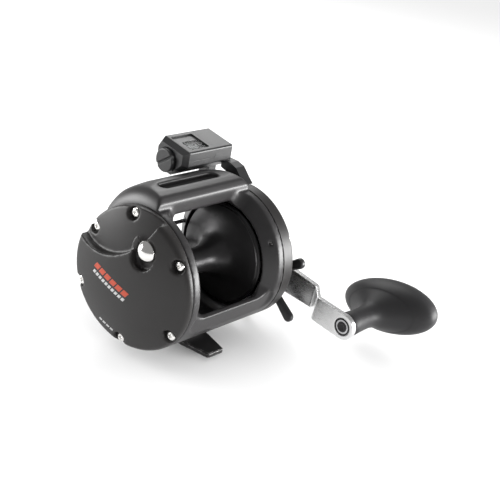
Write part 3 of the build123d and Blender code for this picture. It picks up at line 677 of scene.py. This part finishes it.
@dataclass
class Crank:
    """The handle's paddle knob and the rings of its rivet.

    Attributes:
        neck: Pairs of X from the knob's foot and radius, from the neck to the paddle's end.
        tilt: The paddle's lean in degrees.
        half_wide: Half the paddle's width in millimetres.
        half_thick: Half the paddle's thickness along X.
    """

    neck: tuple[tuple[float, float], ...] = (
        (0.0, 4.4), (0.0, 6.5), (1.4, 7.2), (5.4, 6.9), (15.4, 6.7), (21.0, 7.4), (25.0, 9.0))
    tilt: float = -13.0
    half_wide: float = 15.8
    half_thick: float = 16.5

    def paddle(self) -> bmesh.types.BMesh:
        """Make the soft paddle with its neck, wider along Y than across.

        Returns:
            The closed mesh.
        """
        low, high = span_of("knob")
        axis = centre_of("knob_bushings")
        half_wide, half_thick = self.half_wide, self.half_thick
        half_long = (high.y - low.y) / 2
        centre_x = high.x - half_thick
        line = [(low.x + x, r) for x, r in self.neck]
        for k in range(1, 25):
            turn = math.radians(-46 + 136 * k / 24)
            line.append((centre_x + half_thick * math.sin(turn), half_thick * math.cos(turn)))
        line = line[:3] + smooth_line(line[3:], 4)
        line[-1] = (line[-1][0], 0.0)
        mesh = spun(line, axis.y, axis.z, 96)
        start_x, full_x = low.x + 15.0, centre_x - 2.0
        turn = Matrix.Rotation(math.radians(self.tilt), 4, "X")
        middle = place(0, axis.y, axis.z)
        for vert in mesh.verts:
            x = vert.co.x / MM
            t = min(1.0, max(0.0, (x - start_x) / (full_x - start_x)))
            blend = t * t * (3 - 2 * t)
            local = vert.co - Vector((vert.co.x, middle.y, middle.z))
            local.y *= 1 + blend * (half_long / half_thick - 1)
            local.z *= 1 + blend * (half_wide / half_thick - 1)
            vert.co = Vector((vert.co.x, middle.y, middle.z)) + (turn @ local)
        bmesh.ops.recalc_face_normals(mesh, faces=mesh.faces)
        return mesh

    def rivet(self) -> bmesh.types.BMesh:
        """Make the rivet's stepped rings in the arm's outer face.

        Returns:
            The turned rings.
        """
        low, _ = span_of("knob_spindle")
        axis = centre_of("knob_bushings")
        line = [(low.x + 0.5, 5.2), (low.x - 0.15, 5.2), (low.x - 0.25, 5.0), (low.x - 0.25, 4.3),
                (low.x + 0.1, 4.1), (low.x + 0.1, 3.3), (low.x - 0.3, 3.1), (low.x - 0.35, 1.8),
                (low.x - 0.1, 1.5), (low.x, 0.0)]
        return spun(line, axis.y, axis.z, 72)

    def build(self, shop: Workshop) -> None:
        """Make the paddle and the rivet.

        Args:
            shop: The workshop that makes the pieces.
        """
        shop.piece(self.paddle(), "paddle_knob", "soft_grip", "knob", ("knob",), 40.0)
        shop.piece(self.rivet(), "rivet_rings", "spool_black", "drive")


@dataclass
class Star:
    """The star wheel with rounded arms and a ribbed hub.

    Attributes:
        arms: How many arms it has.
        first: The first arm's angle in degrees.
        reach: The arms' reach in millimetres.
        arm_half: Half an arm's width at its tip.
        thickness: The arms' thickness.
    """

    arms: int = 5
    first: float = 144.0
    reach: float = 30.5
    arm_half: float = 3.2
    thickness: float = 3.8

    def outline(self, y: float, z: float) -> list[tuple[float, float]]:
        """Draw the star's outline round its axis.

        Args:
            y: The axis's Y.
            z: The axis's Z.

        Returns:
            Pairs of Y and Z in millimetres.
        """
        points = []
        for k in range(self.arms):
            turn = math.radians(self.first + 360.0 * k / self.arms)
            for j in range(13):
                swing = turn + math.radians(-90 + 15 * j)
                points.append((y + self.reach * math.cos(turn) + self.arm_half * math.cos(swing),
                               z + self.reach * math.sin(turn) + self.arm_half * math.sin(swing)))
            valley = math.pi / self.arms
            for j in range(1, 8):
                share = j / 8
                angle = turn + valley * 2 * share
                radius = 9.6 + 9.5 * abs(2 * share - 1) ** 3
                points.append((y + radius * math.cos(angle), z + radius * math.sin(angle)))
        return points

    def build(self, shop: Workshop) -> None:
        """Make the star wheel.

        Args:
            shop: The workshop that makes the pieces.
        """
        low, high = span_of("star_drag")
        axis = centre_of("drag_nut")
        arms = plate(self.outline(axis.y, axis.z), low.x + 0.2, low.x + 0.2 + self.thickness, 1.3)
        hub = spun([(low.x, 3.1), (low.x, 8.2), (low.x + 0.4, 8.6), (high.x - 1.6, 8.6), (high.x - 0.5, 7.9),
                    (high.x, 6.6), (high.x, 3.1), (low.x, 3.1)], axis.y, axis.z, 72)
        shop.piece(join([arms, hub]), "star_wheel", "black_plastic", "star", ("star_drag",))


@dataclass
class Winder:
    """The level wind's crossed screw and the guide's bright eye.

    Attributes:
        radius: The screw's radius in millimetres.
        groove: The grooves' depth.
        turns: The crossings along the screw.
        half_screw: Half the thick part's length.
        half_cut: Half the grooved stretch's length.
        stroke: The guide's travel along the screw.
        journal: The thin ends' radius.
        pin: The last stub's radius.
        pin_start: Where the last stub starts along X.
        wire: The radius of the eye's lining.
    """

    radius: float = 2.6
    groove: float = 0.7
    turns: int = 9
    half_screw: float = 22.8
    half_cut: float = 20.5
    stroke: float = 40.0
    journal: float = 1.5
    pin: float = 0.6
    pin_start: float = 35.0
    wire: float = 0.55

    def screw(self) -> bmesh.types.BMesh:
        """Make the shaft with its two crossed grooves.

        Returns:
            The grooved shaft.
        """
        low, high = span_of("worm_shaft")
        rod = centre_of("worm_shaft")
        half, thin = self.half_screw, self.journal
        count = 300
        steps = [(-half + 2 * half * k / count, self.radius) for k in range(count + 1)]
        line = [(low.x, 0.0), (low.x, thin), (-half, thin), *steps, (half, thin), (self.pin_start, thin),
                (self.pin_start, self.pin), (high.x, self.pin), (high.x, 0.0)]
        mesh = spun(line, rod.y, rod.z, 60)
        middle = place(0, rod.y, rod.z)
        pitch = self.stroke / self.turns
        for vert in mesh.verts:
            x = vert.co.x / MM
            arm = vert.co - Vector((vert.co.x, middle.y, middle.z))
            if abs(x) > self.half_cut or arm.length < (self.radius - 0.1) * MM:
                continue
            turn = math.atan2(arm.z, arm.y) / math.tau
            depth = 0.0
            for hand in (-1, 1):
                phase = (x / pitch + hand * turn) % 1.0
                depth = max(depth, max(0.0, 1 - (abs(phase - 0.5) / 0.2) ** 4))
            vert.co -= arm.normalized() * self.groove * depth * MM
        bmesh.ops.recalc_face_normals(mesh, faces=mesh.faces)
        return mesh

    def eye(self) -> bmesh.types.BMesh:
        """Make the bright lining of the guide's slot.

        Returns:
            The closed ring.
        """
        low, high = span_of("line_guide")
        mesh = bmesh.new()
        ring = []
        half_height, half_width, wire = 6.9, 2.35, self.wire
        centre = Vector(((low.x + high.x) / 2, 43.0, 10.2))
        count = 48
        for k in range(count):
            turn = math.tau * k / count
            straight = (half_height - half_width) * (1 if math.sin(turn) >= 0 else -1)
            core = centre + Vector((half_width * math.cos(turn), 0, half_width * math.sin(turn) + straight))
            away = Vector((math.cos(turn), 0, math.sin(turn)))
            loop = []
            for j in range(10):
                swing = math.tau * j / 10
                spot = core + away * wire * math.cos(swing) + Vector((0, 1.9 * wire * math.sin(swing), 0))
                loop.append(mesh.verts.new(place(spot.x, spot.y, spot.z)))
            ring.append([mesh.edges.new((a, b)) for a, b in zip(loop, loop[1:] + loop[:1])])
        for one, other in zip(ring, ring[1:] + ring[:1]):
            bmesh.ops.bridge_loops(mesh, edges=one + other)
        bmesh.ops.recalc_face_normals(mesh, faces=mesh.faces)
        return mesh

    def build(self, shop: Workshop) -> None:
        """Make the screw and the eye.

        Args:
            shop: The workshop that makes the pieces.
        """
        shop.piece(self.screw(), "crossed_screw", "steel", "worm", ("worm_shaft",), 50.0)
        shop.piece(self.eye(), "guide_eye", "screw_chrome", "line_guide")


@dataclass
class Counter:
    """The digits on the line counter's wheels.

    Attributes:
        digit_height: A digit's height in millimetres.
        wheels: The wheel nodes and the bodies they turn with.
    """

    digit_height: float = 3.3
    wheels: tuple[tuple[str, str], ...] = (
        ("hundreds_wheel", "hundreds"), ("tens_wheel", "tens"), ("units_wheel", "counter_input"))

    def digits(self, node: str) -> bmesh.types.BMesh:
        """Wrap the digits 0 to 9 round a wheel.

        Args:
            node: The wheel's node.

        Returns:
            The digits as thin raised films.
        """
        low, high = span_of(node)
        axis = (low + high) / 2
        radius = (high.z - low.z) / 2 + 0.03
        parts = []
        for number in range(10):
            curve = bpy.data.curves.new("digit", "FONT")
            curve.body = str(number)
            curve.size = self.digit_height * 1.4
            curve.align_x = "CENTER"
            curve.align_y = "CENTER"
            curve.extrude = 0.04
            shape = bpy.data.objects.new("digit", curve)
            bpy.context.scene.collection.objects.link(shape)
            data = bpy.data.meshes.new_from_object(shape.evaluated_get(bpy.context.evaluated_depsgraph_get()))
            bpy.data.objects.remove(shape)
            bpy.data.curves.remove(curve)
            mesh = bmesh.new()
            mesh.from_mesh(data)
            bpy.data.meshes.remove(data)
            for vert in mesh.verts:
                angle = math.radians(90.0 + 36.0 * number) + vert.co.y / radius
                reach = radius + vert.co.z
                vert.co = place(axis.x + vert.co.x, axis.y + reach * math.cos(angle),
                                axis.z + reach * math.sin(angle))
            bmesh.ops.recalc_face_normals(mesh, faces=mesh.faces)
            parts.append(mesh)
        return join(parts)

    def build(self, shop: Workshop) -> None:
        """Make the digits of every wheel.

        Args:
            shop: The workshop that makes the pieces.
        """
        for node, body in self.wheels:
            shop.piece(self.digits(node), f"{node}_digits", "digit_black", body)


# ------------------------------------------------------------------ studio
@dataclass
class Studio:
    """The camera, the floor and the soft lights.

    Attributes:
        eye: The camera's place in metres.
        forward: Where it looks.
        up: Its upward direction.
        lens: Its focal length in millimetres.
        room_light: The room's strength.
        mirrored_light: Its strength in mirrored rays.
    """

    eye: tuple[float, float, float] = (-0.35657, -0.32885, 0.29374)
    forward: tuple[float, float, float] = (0.70043, 0.56548, -0.43546)
    up: tuple[float, float, float] = (0.21247, 0.41726, 0.88360)
    lens: float = 69.6
    room_light: float = 1.0
    mirrored_light: float = 0.32

    def camera(self) -> None:
        """Make the camera and make it the scene's own."""
        data = bpy.data.cameras.new("camera")
        data.lens = self.lens
        data.sensor_width = 36.0
        data.clip_start = 0.01
        data.clip_end = 20.0
        camera = bpy.data.objects.new("camera", data)
        back = -Vector(self.forward).normalized()
        right = Vector(self.up).cross(back).normalized()
        up = back.cross(right)
        turn = Matrix((right, up, back)).transposed()
        camera.matrix_world = Matrix.Translation(self.eye) @ turn.to_4x4()
        bpy.context.scene.collection.objects.link(camera)
        bpy.context.scene.camera = camera

    def light(self, name: str, spot: tuple[float, float, float], size: tuple[float, float], power: float,
              aim: tuple[float, float, float] = (0.0, 0.0, 0.05)) -> None:
        """Hang one soft panel light.

        Args:
            name: The light's name.
            spot: Its place in metres.
            size: Its width and height in metres.
            power: Its power in watts.
            aim: The point it faces.
        """
        data = bpy.data.lights.new(name, "AREA")
        data.shape = "RECTANGLE"
        data.size, data.size_y = size
        data.energy = power
        lamp = bpy.data.objects.new(name, data)
        lamp.location = spot
        lamp.rotation_mode = "QUATERNION"
        lamp.rotation_quaternion = (Vector(aim) - Vector(spot)).to_track_quat("-Z", "Y")
        bpy.context.scene.collection.objects.link(lamp)

    def build(self) -> None:
        """Make the floor, the room's light and the panels."""
        mesh = bmesh.new()
        bmesh.ops.create_circle(mesh, cap_ends=True, segments=64, radius=6.0)
        bmesh.ops.translate(mesh, verts=mesh.verts, vec=(0, 0, CAD_LOW.z - 0.0005))
        data = bpy.data.meshes.new("floor")
        mesh.to_mesh(data)
        mesh.free()
        material = bpy.data.materials.new("floor")
        material.use_nodes = True
        shader = material.node_tree.nodes["Principled BSDF"]
        shader.inputs["Base Color"].default_value = (0.86, 0.86, 0.86, 1)
        shader.inputs["Roughness"].default_value = 0.9
        data.materials.append(material)
        floor = bpy.data.objects.new("floor", data)
        bpy.context.scene.collection.objects.link(floor)
        self.room()
        self.light("top_panel", (0.45, 0.55, 0.60), (0.5, 0.5), 3.5)
        self.light("front_left_panel", (-0.50, 0.80, 0.12), (0.5, 0.6), 11.0)
        self.light("rear_right_panel", (0.50, -0.62, 0.06), (0.8, 0.4), 24.0)

    def room(self) -> None:
        """Make the room's even light, dim where it is only mirrored."""
        world = bpy.data.worlds.new("room")
        world.use_nodes = True
        nodes, link = world.node_tree.nodes, world.node_tree.links.new
        rays = nodes.new("ShaderNodeLightPath")
        strength = nodes.new("ShaderNodeMapRange")
        strength.inputs["To Min"].default_value = self.room_light
        strength.inputs["To Max"].default_value = self.mirrored_light
        link(rays.outputs["Is Glossy Ray"], strength.inputs["Value"])
        background = nodes["Background"]
        background.inputs["Color"].default_value = (1.0, 1.0, 1.0, 1)
        link(strength.outputs["Result"], background.inputs["Strength"])
        bpy.context.scene.world = world
        bpy.context.scene.view_settings.view_transform = "Standard"


def main() -> None:
    """Build the reel's pieces in order, then the studio."""
    studio = Studio()
    studio.camera()
    shop = Workshop()
    shop.dress_nodes()
    for assembly in (Housing(), Spool(), Crank(), Star(), Winder(), Counter()):
        assembly.build(shop)
        log.info("%s done", type(assembly).__name__)
    studio.build()


if __name__ == "__main__":
    main()
